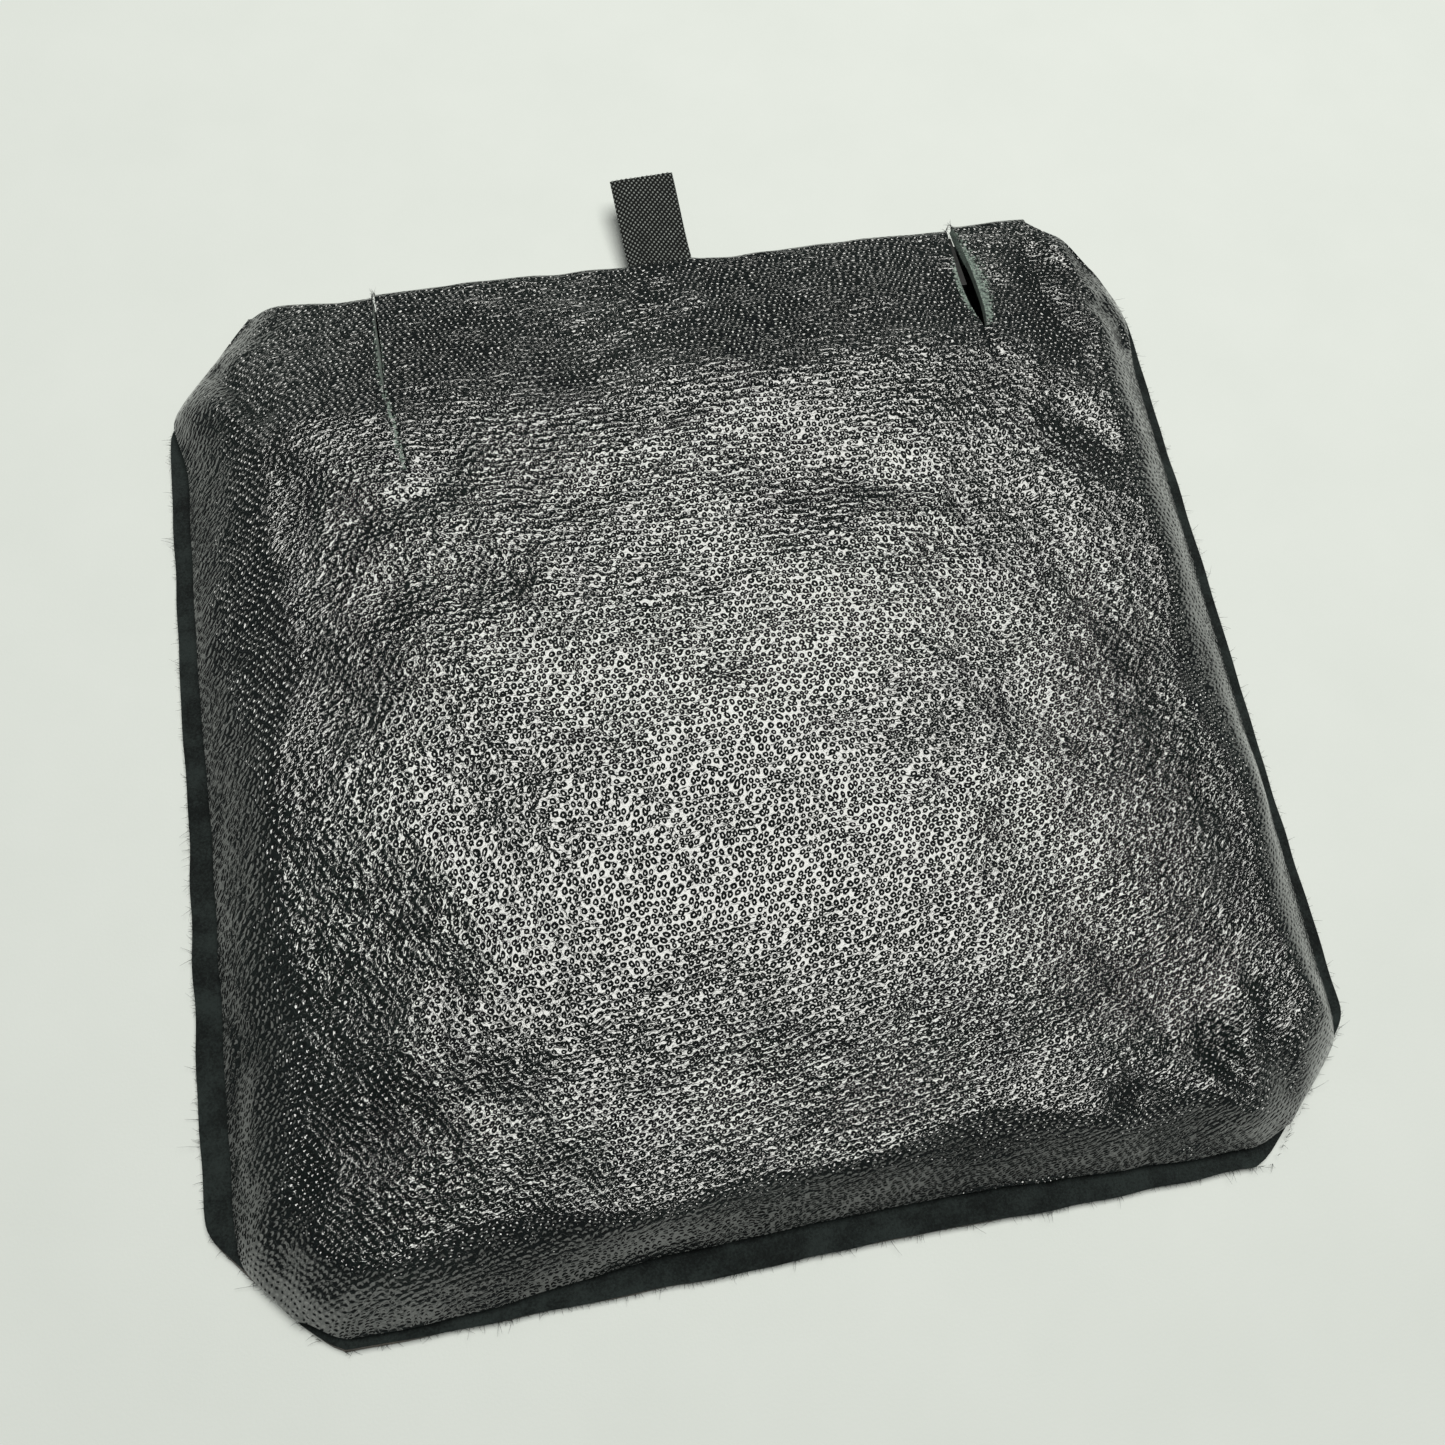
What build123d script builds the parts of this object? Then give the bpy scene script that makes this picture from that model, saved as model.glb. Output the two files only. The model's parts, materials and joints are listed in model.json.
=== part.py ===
"""Padded leather pouch with a spring-stay mouth and a woven pull tab, lying on its back.

The origin is the centre of the back face. +X is to the right across the mouth, +Y is
towards the mouth, and +Z is out of the front. All sizes are in millimetres.
"""

import math
import os

from build123d import *

# Driving dimensions
WIDTH = 150.0
HEIGHT = 146.0
CORNER_X = 14.0  # the cut corner's leg along the top and bottom edges
CORNER_Y = 16.5  # the cut corner's leg along the side edges
LEATHER = 1.0
PAD = 1.2
LINING = 0.3
POCKET_DEPTH = 4.4  # free height between the two linings
SIDE_MARGIN = 3.0  # the back panel stands this far past the front panel at each side
BOTTOM_MARGIN = 4.5
CORNER_MARGIN = 0.5
FLANGE = 3.0  # the flat border of the front panel, bonded to the back panel
BOND = 0.1

PLATEAU_WIDTH = 112.0  # the raised flat of the front panel
PLATEAU_LOW_Y = -58.0
PLATEAU_HIGH_Y = 52.0
PLATEAU_CORNER = 5.0
PAD_GAP = 2.0  # from the plateau's edge to the padding's edge

MOUTH_CENTRE_X = 3.7
MOUTH_WIDTH = 90.0
SLIT_GAP = 0.3
HINGE_GAP = 0.15
HEM_LENGTH = 16.0
CHANNEL = 0.6  # height of the stay's channel inside a hem
LIP_GAP = 0.8  # between the two hems at the closed mouth

STAY_WIDTH = 10.0
STAY_THICKNESS = 0.2
STAY_SAGITTA = 0.35
STAY_CLEARANCE = 0.05
CAP_LENGTH = 4.0
CAP_WALL = 0.1

TAB_CENTRE_X = 2.5
TAB_RISE = 8.0  # degrees that the loop stands up from flat
TAB_WIDTH = 10.0
TAB_PLY = 0.32
TAB_LENGTH = 16.0
TAB_ANCHOR = 9.0
TAB_ROOT_GAP = 0.4
STITCH_RADIUS = 0.2
STITCH_COLUMNS = 5
STITCH_ROWS = 2

# Worked out from the driving dimensions
HALF_WIDTH = WIDTH / 2
HALF_HEIGHT = HEIGHT / 2
HEM_THICKNESS = 2 * LEATHER + CHANNEL
BACK_LINING_Z = LEATHER + PAD
FRONT_LINING_Z = BACK_LINING_Z + LINING + POCKET_DEPTH
FRONT_PAD_Z = FRONT_LINING_Z + LINING
PANEL_UNDER_Z = FRONT_PAD_Z + PAD
PLATEAU_Z = PANEL_UNDER_Z + LEATHER
FLANGE_Z = LEATHER + BOND
MOUTH_LEFT = MOUTH_CENTRE_X - MOUTH_WIDTH / 2
MOUTH_RIGHT = MOUTH_CENTRE_X + MOUTH_WIDTH / 2
HINGE_Y = PLATEAU_HIGH_Y
LIP_TOP_Z = 2 * HEM_THICKNESS + LIP_GAP  # outer face of the front lip at the mouth
LIP_ANGLE = math.degrees(math.atan2(PLATEAU_Z - LIP_TOP_Z, HALF_HEIGHT - HINGE_Y))
LIP_LENGTH = math.hypot(PLATEAU_Z - LIP_TOP_Z, HALF_HEIGHT - HINGE_Y)
LIP_WIDTH = MOUTH_WIDTH - 2 * SLIT_GAP
PAD_WIDTH = PLATEAU_WIDTH - 2 * PAD_GAP
PAD_LOW_Y = PLATEAU_LOW_Y + PAD_GAP
PAD_HIGH_Y = PLATEAU_HIGH_Y - PAD_GAP
PAD_CENTRE_Y = (PAD_LOW_Y + PAD_HIGH_Y) / 2
PAD_HEIGHT = PAD_HIGH_Y - PAD_LOW_Y


def cut_corner_points(left, right, low, high, leg_x, leg_y):
    """The eight corners of a rectangle with its corners cut off."""
    return [
        (left + leg_x, low),
        (right - leg_x, low),
        (right, low + leg_y),
        (right, high - leg_y),
        (right - leg_x, high),
        (left + leg_x, high),
        (left, high - leg_y),
        (left, low + leg_y),
    ]


def outline(inset=0.0):
    """The back panel's outline, made smaller all round by inset."""
    return cut_corner_points(
        -HALF_WIDTH + inset,
        HALF_WIDTH - inset,
        -HALF_HEIGHT + inset,
        HALF_HEIGHT - inset,
        CORNER_X,
        CORNER_Y,
    )


def plateau_points(inset=0.0):
    """The raised flat's outline, made smaller all round by inset."""
    return cut_corner_points(
        -PLATEAU_WIDTH / 2 + inset,
        PLATEAU_WIDTH / 2 - inset,
        PLATEAU_LOW_Y + inset,
        PLATEAU_HIGH_Y - inset,
        PLATEAU_CORNER,
        PLATEAU_CORNER,
    )


def front_points(inset=0.0):
    """The front panel's outline: inside the back panel's sides and bottom, level with its top."""
    ratio = CORNER_X / CORNER_Y
    left = -HALF_WIDTH + SIDE_MARGIN + inset
    low = -HALF_HEIGHT + BOTTOM_MARGIN + inset
    high = HALF_HEIGHT - inset
    low_leg_x = CORNER_X - SIDE_MARGIN - BOTTOM_MARGIN * ratio + CORNER_MARGIN
    low_leg_y = low_leg_x / ratio
    high_leg_x = CORNER_X - SIDE_MARGIN + CORNER_MARGIN
    high_leg_y = high_leg_x / ratio
    return [
        (left + low_leg_x, low),
        (-left - low_leg_x, low),
        (-left, low + low_leg_y),
        (-left, high - high_leg_y),
        (-left - high_leg_x, high),
        (left + high_leg_x, high),
        (left, high - high_leg_y),
        (left, low + low_leg_y),
    ]


def finish(builder, name):
    """Labels a finished piece and writes it."""
    builder.part.label = name
    export_step(builder.part, f"parts/{name}.step")


os.makedirs("parts", exist_ok=True)

# A plane across the front lip's section: its x runs down the lip from the hinge line to
# the mouth, its y is the lip's outward normal, and it is extruded along +X.
lip_section = Plane(
    origin=(MOUTH_LEFT + SLIT_GAP, HINGE_Y, PLATEAU_Z),
    x_dir=(0, math.cos(math.radians(LIP_ANGLE)), -math.sin(math.radians(LIP_ANGLE))),
    z_dir=(1, 0, 0),
)
# The same for the back hem, which lies flat: its y is up, from the hem's inner face.
back_section = Plane(
    origin=(MOUTH_LEFT + SLIT_GAP, HINGE_Y, HEM_THICKNESS), x_dir=(0, 1, 0), z_dir=(1, 0, 0)
)


def hem_face(length, start, hem_length):
    """A strip of leather turned over at the mouth, with its outer face on the x axis."""
    half = HEM_THICKNESS / 2
    channel_end = length - half
    channel_start = channel_end - STAY_WIDTH - 2 * STAY_CLEARANCE
    with Locations(((start + channel_end) / 2, -LEATHER / 2)):
        Rectangle(channel_end - start, LEATHER)
    with Locations((length - (hem_length + half) / 2, -half)):
        Rectangle(hem_length - half, HEM_THICKNESS)
    with Locations((channel_end, -half)):
        Circle(half)
    with Locations(((channel_start + channel_end) / 2, -half)):
        Rectangle(channel_end - channel_start, CHANNEL, mode=Mode.SUBTRACT)


def stay_arc(offset):
    """The curve of a stay's section, lowered by offset from the channel's upper wall."""
    top = -LEATHER - STAY_CLEARANCE - offset
    ThreePointArc(
        (-STAY_WIDTH / 2, top - STAY_SAGITTA), (0, top), (STAY_WIDTH / 2, top - STAY_SAGITTA)
    )


def stay_face(length):
    """The curved section of a spring stay, in the channel of a hem of this length."""
    middle = length - HEM_THICKNESS / 2 - STAY_CLEARANCE - STAY_WIDTH / 2
    with BuildSketch(mode=Mode.PRIVATE) as section:
        with BuildLine():
            stay_arc(0)
            stay_arc(STAY_THICKNESS)
            for side in (-STAY_WIDTH / 2, STAY_WIDTH / 2):
                end_z = -LEATHER - STAY_CLEARANCE - STAY_SAGITTA
                Line((side, end_z), (side, end_z - STAY_THICKNESS))
        make_face()
    with Locations((middle, 0)):
        add(section.sketch)


def cap_face(length):
    """The section of a stay's moulded end cap, which fills the channel."""
    middle = length - HEM_THICKNESS / 2 - STAY_CLEARANCE - STAY_WIDTH / 2
    with Locations((middle, -HEM_THICKNESS / 2)):
        RectangleRounded(STAY_WIDTH, CHANNEL, CAP_WALL)


# Back panel: a flat sheet, turned over at the mouth to make the back hem
with BuildPart() as back_panel:
    with BuildSketch():
        Polygon(*outline(), align=None)
    extrude(amount=LEATHER)
    # The mouth's edge is cut back so that the turned hem is the top edge there.
    with BuildSketch():
        with Locations((MOUTH_CENTRE_X, HALF_HEIGHT)):
            Rectangle(LIP_WIDTH, HEM_THICKNESS)
    extrude(amount=LEATHER, mode=Mode.SUBTRACT)
    with BuildSketch(back_section):
        hem_face(HALF_HEIGHT - HINGE_Y, HALF_HEIGHT - HINGE_Y - HEM_LENGTH, HEM_LENGTH)
    extrude(amount=LIP_WIDTH)
finish(back_panel, "back_panel")

# Front panel: a formed sheet with a flat border, cut away where the front lip swings
with BuildPart() as front_panel:
    with BuildSketch(Plane.XY.offset(FLANGE_Z)):
        Polygon(*front_points(), align=None)
    extrude(amount=LEATHER)
    with BuildSketch(Plane.XY.offset(FLANGE_Z + LEATHER)):
        Polygon(*front_points(FLANGE), align=None)
    with BuildSketch(Plane.XY.offset(PLATEAU_Z)):
        Polygon(*plateau_points(), align=None)
    loft()
    with BuildSketch(Plane.XY.offset(FLANGE_Z)):
        Polygon(*front_points(FLANGE), align=None)
    with BuildSketch(Plane.XY.offset(PANEL_UNDER_Z)):
        Polygon(*plateau_points(), align=None)
    loft(mode=Mode.SUBTRACT)
    with BuildSketch():
        with Locations((MOUTH_CENTRE_X, HINGE_Y - HINGE_GAP)):
            Rectangle(MOUTH_WIDTH, HALF_HEIGHT, align=(Align.CENTER, Align.MIN))
    extrude(amount=PLATEAU_Z, mode=Mode.SUBTRACT)
finish(front_panel, "front_panel")

# Bond: the film that joins the front panel's flat border to the back panel
with BuildPart() as seam_bond:
    with BuildSketch(Plane.XY.offset(LEATHER)):
        Polygon(*front_points(), align=None)
        Polygon(*front_points(FLANGE), align=None, mode=Mode.SUBTRACT)
        with Locations((MOUTH_CENTRE_X, HALF_HEIGHT)):
            Rectangle(MOUTH_WIDTH, 2 * FLANGE, mode=Mode.SUBTRACT)
    extrude(amount=BOND)
finish(seam_bond, "seam_bond")

# Front lip: the tongue between the two slits, turned over its stay at the mouth
with BuildPart() as front_lip:
    with BuildSketch(lip_section):
        hem_face(LIP_LENGTH, HINGE_GAP, HEM_LENGTH)
    extrude(amount=LIP_WIDTH)
finish(front_lip, "front_lip")

# Stays: bowed strips of spring steel, one in each hem, with a moulded cap on each end
stay_length = LIP_WIDTH - 2 * CAP_WALL
cap_places = (0, LIP_WIDTH - CAP_LENGTH)
sections = {
    "front": (lip_section, LIP_LENGTH),
    "back": (back_section, HALF_HEIGHT - HINGE_Y),
}
for side, (plane, length) in sections.items():
    with BuildPart() as stay:
        with BuildSketch(plane.offset(CAP_WALL)):
            stay_face(length)
        extrude(amount=stay_length)
    finish(stay, f"{side}_stay")

    with BuildPart() as caps:
        for place in cap_places:
            with BuildSketch(plane.offset(place)):
                cap_face(length)
            extrude(amount=CAP_LENGTH)
        add(stay.part, mode=Mode.SUBTRACT)
    finish(caps, f"{side}_stay_caps")

# Padding and lining of each panel
layers = {
    "back_padding": (LEATHER, PAD, 0.0),
    "back_lining": (BACK_LINING_Z, LINING, PAD_GAP / 2),
    "front_lining": (FRONT_LINING_Z, LINING, PAD_GAP / 2),
    "front_padding": (FRONT_PAD_Z, PAD, 0.0),
}
for name, (low_z, thickness, overlap) in layers.items():
    with BuildPart() as layer:
        with BuildSketch(Plane.XY.offset(low_z)):
            with Locations((0, PAD_CENTRE_Y)):
                RectangleRounded(PAD_WIDTH + 2 * overlap, PAD_HEIGHT + 2 * overlap, PLATEAU_CORNER)
        extrude(amount=thickness)
    finish(layer, name)

# Pull tab: woven tape folded in two, with its two ends sewn inside the front lip
tab_plane = Plane(
    origin=(TAB_CENTRE_X - TAB_WIDTH / 2, HALF_HEIGHT + TAB_ROOT_GAP, HEM_THICKNESS + LIP_GAP / 2),
    x_dir=(0, math.cos(math.radians(TAB_RISE)), math.sin(math.radians(TAB_RISE))),
    z_dir=(1, 0, 0),
)
with BuildPart() as pull_tab:
    with BuildSketch(tab_plane):
        with Locations((TAB_LENGTH / 2, 0)):
            Rectangle(TAB_LENGTH - 2 * TAB_PLY, 2 * TAB_PLY)
        for place in (TAB_PLY, TAB_LENGTH - TAB_PLY):
            with Locations((place, 0)):
                Circle(TAB_PLY)
    extrude(amount=TAB_WIDTH)
finish(pull_tab, "pull_tab")

ends_left = TAB_CENTRE_X - TAB_WIDTH / 2 - MOUTH_LEFT - SLIT_GAP
with BuildPart() as pull_tab_ends:
    with BuildSketch(lip_section.offset(ends_left)):
        with Locations((LIP_LENGTH - TAB_ANCHOR / 2, -HEM_THICKNESS - TAB_PLY)):
            Rectangle(TAB_ANCHOR, 2 * TAB_PLY)
    extrude(amount=TAB_WIDTH)
finish(pull_tab_ends, "pull_tab_ends")

# Each stitch goes through the tape and the hem's inner layer.
sewn_face = Plane(
    origin=lip_section.from_local_coords(
        (LIP_LENGTH - TAB_ANCHOR / 2, -HEM_THICKNESS - TAB_PLY, ends_left + TAB_WIDTH / 2)
    ),
    x_dir=lip_section.z_dir,
    z_dir=lip_section.y_dir,
)
with BuildPart() as tab_stitching:
    with Locations(sewn_face):
        with GridLocations(TAB_WIDTH / STITCH_COLUMNS, TAB_ANCHOR / 2, STITCH_COLUMNS, STITCH_ROWS):
            Cylinder(STITCH_RADIUS, 2 * TAB_PLY + LEATHER)
finish(tab_stitching, "tab_stitching")
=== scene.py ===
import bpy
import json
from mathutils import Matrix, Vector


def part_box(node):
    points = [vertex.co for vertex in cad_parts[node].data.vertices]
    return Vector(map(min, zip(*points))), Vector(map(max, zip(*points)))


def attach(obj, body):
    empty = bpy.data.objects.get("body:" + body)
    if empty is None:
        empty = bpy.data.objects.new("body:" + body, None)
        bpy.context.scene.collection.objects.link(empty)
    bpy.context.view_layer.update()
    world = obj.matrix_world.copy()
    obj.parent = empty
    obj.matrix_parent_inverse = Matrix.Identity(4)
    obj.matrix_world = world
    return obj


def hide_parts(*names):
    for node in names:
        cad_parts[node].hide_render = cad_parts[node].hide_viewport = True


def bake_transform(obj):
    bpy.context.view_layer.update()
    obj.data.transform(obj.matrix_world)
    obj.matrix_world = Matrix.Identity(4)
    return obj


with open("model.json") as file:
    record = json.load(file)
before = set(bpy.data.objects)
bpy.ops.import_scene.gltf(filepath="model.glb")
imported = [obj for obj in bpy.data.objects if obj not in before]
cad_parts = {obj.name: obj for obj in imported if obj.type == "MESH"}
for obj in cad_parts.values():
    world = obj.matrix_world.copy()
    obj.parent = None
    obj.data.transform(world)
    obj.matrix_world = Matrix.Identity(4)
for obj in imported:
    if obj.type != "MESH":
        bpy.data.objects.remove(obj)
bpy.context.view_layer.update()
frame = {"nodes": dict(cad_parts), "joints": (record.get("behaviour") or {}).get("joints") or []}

"""The looks of a padded leather pouch with a spring-stay mouth and a woven pull tab.

Lengths in this script are millimetres in the frame's axes, and become metres where a mesh is made.
"""

import json
import math

import bpy
import numpy as np

MM = 0.001


def box_mm(node):
    low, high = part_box(node)
    return np.array(low) / MM, np.array(high) / MM


BACK_LOW, BACK_HIGH = box_mm("back_panel")
FRONT_LOW, FRONT_HIGH = box_mm("front_panel")
LIP_LOW, LIP_HIGH = box_mm("front_lip")
TAB_LOW, TAB_HIGH = box_mm("pull_tab")
ENDS_LOW, ENDS_HIGH = box_mm("pull_tab_ends")
PAD_LOW, PAD_HIGH = box_mm("front_padding")
HINGES = {j["name"]: np.array(j["pos_m"]) / MM for j in frame["joints"]}
HINGE_Y, HINGE_Z = HINGES["front_lip_open"][1:]

# Leather
LEATHER = 1.0  # thickness
SKIVED = 0.55  # the front's thickness where it is pared down at its cut edges
PLATEAU_Z = FRONT_HIGH[2]
MOUTH_Y = BACK_HIGH[1]
HEM_THICKNESS = BACK_HIGH[2]
HEM_LENGTH = 16.0
HEM_INSET = 0.35  # how far in from their sides the front's turned parts lie
BACK_HEM_INSET = 0.5  # and the back's
LIP_FALL = 0.162  # how steeply the front falls from the slits' lower ends to the mouth
LIP_TOP_Z = PLATEAU_Z - (MOUTH_Y - HINGE_Y) * LIP_FALL
SLOPE_START_Y = 49.5  # where the front starts to fall towards the mouth
GRID = 0.5  # spacing of the leather's points
FINE_GRID = 0.08  # spacing of the tape's points

# Cut corners, as the legs along x and along y
CORNERS = {
    (-1, 1): (13.5, 16.5),
    (1, 1): (15.2, 15.0),
    (-1, -1): (14.3, 16.0),
    (1, -1): (16.4, 17.4),
}
CORNER_SOFTNESS = 0.8

# Slits
SLIT_MARGIN = 0.3  # from the CAD's lip to the middle of a slit
SLIT_LEFT = LIP_LOW[0] - SLIT_MARGIN
SLIT_RIGHT = LIP_HIGH[0] + SLIT_MARGIN
SLIT_END_Y = HINGE_Y + SLIT_MARGIN
LIP_BEND = 5.0  # length of leather that bends when the lip lifts
SLIT_CURL = 0.38  # the ears' cut edges stand up by this much along the slits


# ---- shapes


def softplus(value, softness):
    return softness * np.logaddexp(0.0, value / softness)


def smooth_min(values, softness):
    """The least of several arrays, with the corners between them rounded."""
    total = sum(np.exp(-np.asarray(v) / softness) for v in values)
    return -softness * np.log(total)


def smooth_step(value, low, high):
    t = np.clip((value - low) / (high - low), 0.0, 1.0)
    return t * t * (3 - 2 * t)


def rumple(x, y, wavelength, seed):
    """Gentle random waves of about this length, with a spread of about 1."""
    rng = np.random.default_rng(seed)
    total = np.zeros(np.broadcast(x, y).shape)
    count = 16
    for _ in range(count):
        angle = rng.uniform(0, 2 * math.pi)
        length = wavelength * rng.uniform(0.7, 1.6)
        phase = rng.uniform(0, 2 * math.pi)
        total += np.sin(2 * math.pi * (x * math.cos(angle) + y * math.sin(angle)) / length + phase)
    return total / math.sqrt(count / 2)


def stroke(x, y, start, end, width):
    """1 along a line from start to end, falling to 0 over about width to each side."""
    a, b = np.array(start, float), np.array(end, float)
    run = b - a
    t = np.clip(((x - a[0]) * run[0] + (y - a[1]) * run[1]) / (run @ run), 0, 1)
    away = np.hypot(x - a[0] - t * run[0], y - a[1] - t * run[1])
    return np.exp(-((away / width) ** 2))


def side_line(y, side, inset=0.0, corner_inset=0.0):
    """x of the outline's left (-1) or right (1) side at y, with its cut corners."""
    reach = BACK_HIGH[0]
    high_x, high_y = CORNERS[(side, 1)]
    low_x, low_y = CORNERS[(side, -1)]
    straight = np.full_like(y, reach - inset)
    high = reach - corner_inset - high_x * (y - (BACK_HIGH[1] - high_y)) / high_y
    low = reach - corner_inset - low_x * ((BACK_LOW[1] + low_y) - y) / low_y
    low = low - 1.1 * np.exp(-(y - BACK_LOW[1]) / 0.8)  # rounds off the bottom edge's ends
    return side * smooth_min([straight, high, low], CORNER_SOFTNESS)


def side_waves(y, side):
    """How far a cut side wanders from straight: the left one also leans in."""
    lean = 0.0
    if side < 0:
        lean = 0.8 * smooth_step(y, -20, 50) + 0.4 * np.exp(-(((y + 8) / 16) ** 2))
    waves = 0.15 * rumple(y, 0 * y, 60, 3 + side) + 0.06 * rumple(y, 0 * y, 9, 13 + side)
    return side * (waves - lean)


def low_lift(x):
    """How much higher than square the bottom edge is cut, at x."""
    return 0.4 + 0.75 * smooth_step(x, -15, 15)


def low_waves(x):
    """How far the bottom edge wanders from the CAD's straight one."""
    return low_lift(x) + 0.10 * rumple(x, 0 * x, 70, 22) + 0.06 * rumple(x, 0 * x, 10, 32)


def near_bottom(y, low_y):
    """1 at the bottom edge, falling to 0 some way up."""
    return 1 - smooth_step(y, low_y, low_y + 12)


def grid_between(rows, left, right, columns):
    """x and y of a grid of points between two side lines, each given at every row."""
    t = np.linspace(0, 1, columns)
    x = left[:, None] * (1 - t) + right[:, None] * t
    return x, np.repeat(rows[:, None], columns, axis=1)


def add_tube(points, faces, rings):
    """Adds a closed tube through rings of points to lists of points and faces."""
    start, sides = len(points), len(rings[0])
    top = start + sides * (len(rings) - 1)
    for ring in rings:
        points.extend(ring)
    for low in range(start, top, sides):
        for i in range(sides):
            a, b = low + i, low + (i + 1) % sides
            faces.append((a, b, b + sides, a + sides))
    faces.append(tuple(range(top, top + sides)))
    faces.append(tuple(reversed(range(start, start + sides))))


CREASE_DEGREES = 50  # a sharper edge than this isn't smoothed over


class Skin:
    """A sheet of leather or cloth being made: its outer face as points and quads."""

    def __init__(self):
        self.grids = []
        self.faces = []
        self.count = 0

    def add(self, points, grain, thickness, weight=0.0, wear=0.0):
        """Adds a grid of points, shaped (rows, columns, 3), and returns their numbers.

        weight is how far each point would go with the second body, which mesh returns but nothing uses,
        and wear how scuffed it is.
        """
        shape = points.shape[:2]
        measures = [np.broadcast_to(value, shape).ravel() for value in (thickness, weight, wear)]
        self.grids.append((points.reshape(-1, 3), grain.reshape(-1, 2), *measures))
        numbers = self.count + np.arange(shape[0] * shape[1]).reshape(shape)
        self.count += numbers.size
        return numbers

    def fill(self, numbers):
        """Joins a grid of point numbers with quads that face up."""
        a, b = numbers[:-1, :-1].ravel(), numbers[:-1, 1:].ravel()
        c, d = numbers[1:, 1:].ravel(), numbers[1:, :-1].ravel()
        self.faces.append(np.stack([a, b, c, d], axis=1))

    def mesh(self, name, materials):
        """The closed sheet: outer face, inner face and cut rim, with a material each."""
        faces = np.concatenate(self.faces)
        used = np.unique(faces)
        renumber = np.full(self.count, -1)
        renumber[used] = np.arange(len(used))
        faces = renumber[faces]
        joined = [np.concatenate(parts)[used] for parts in zip(*self.grids)]
        points, grain, thickness, weight, wear = joined
        normals = vertex_normals(points, faces)
        inner = points - normals * thickness[:, None]
        count = len(points)
        edges = np.concatenate([faces[:, [i, (i + 1) % 4]] for i in range(4)])
        keys = np.sort(edges, axis=1)
        _, first, repeats = np.unique(keys, axis=0, return_index=True, return_counts=True)
        border = edges[first[repeats == 1]]
        rim = np.stack([border[:, 1], border[:, 0], border[:, 0] + count, border[:, 1] + count], axis=1)
        everything = np.concatenate([faces, faces[:, ::-1] + count, rim])
        slots = np.repeat([0, 1, 2], [len(faces), len(faces), len(rim)])
        thing = make_mesh(name, np.concatenate([points, inner]), everything.tolist(), materials)
        thing.data.polygons.foreach_set("material_index", slots.astype(np.int32))
        thing.data.set_sharp_from_angle(angle=math.radians(CREASE_DEGREES))
        add_attribute(thing, "grain", np.tile(np.c_[grain, np.zeros(count)], (2, 1)))
        add_attribute(thing, "wear", np.tile(np.c_[wear, np.zeros((count, 2))], (2, 1)))
        return thing, np.tile(weight, 2)


def vertex_normals(points, faces):
    corners = points[faces]
    normal = np.cross(corners[:, 2] - corners[:, 0], corners[:, 3] - corners[:, 1])
    total = np.zeros_like(points)
    for i in range(4):
        np.add.at(total, faces[:, i], normal)
    return total / np.maximum(np.linalg.norm(total, axis=1, keepdims=True), 1e-12)


def make_mesh(name, points, faces, materials):
    """A smooth-shaded mesh object, from points in millimetres."""
    data = bpy.data.meshes.new(name)
    data.from_pydata((np.asarray(points) * MM).tolist(), [], faces)
    for material in materials:
        data.materials.append(material)
    data.polygons.foreach_set("use_smooth", np.ones(len(data.polygons), bool))
    return make_object(name, data)


def make_object(name, data):
    thing = bpy.data.objects.new(name, data)
    bpy.context.scene.collection.objects.link(thing)
    return thing


def face_along(thing, place, right, back):
    """Puts a camera or light at a place in metres, looking away from back."""
    matrix = np.eye(4)
    matrix[:3, :3] = np.stack([right, np.cross(back, right), back], axis=1)
    matrix[:3, 3] = place
    thing.matrix_world = matrix.T.tolist()


def add_attribute(thing, name, values):
    attribute = thing.data.attributes.new(name, "FLOAT_VECTOR", "POINT")
    attribute.data.foreach_set("vector", values.astype(np.float32).ravel())


# ---- materials


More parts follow.
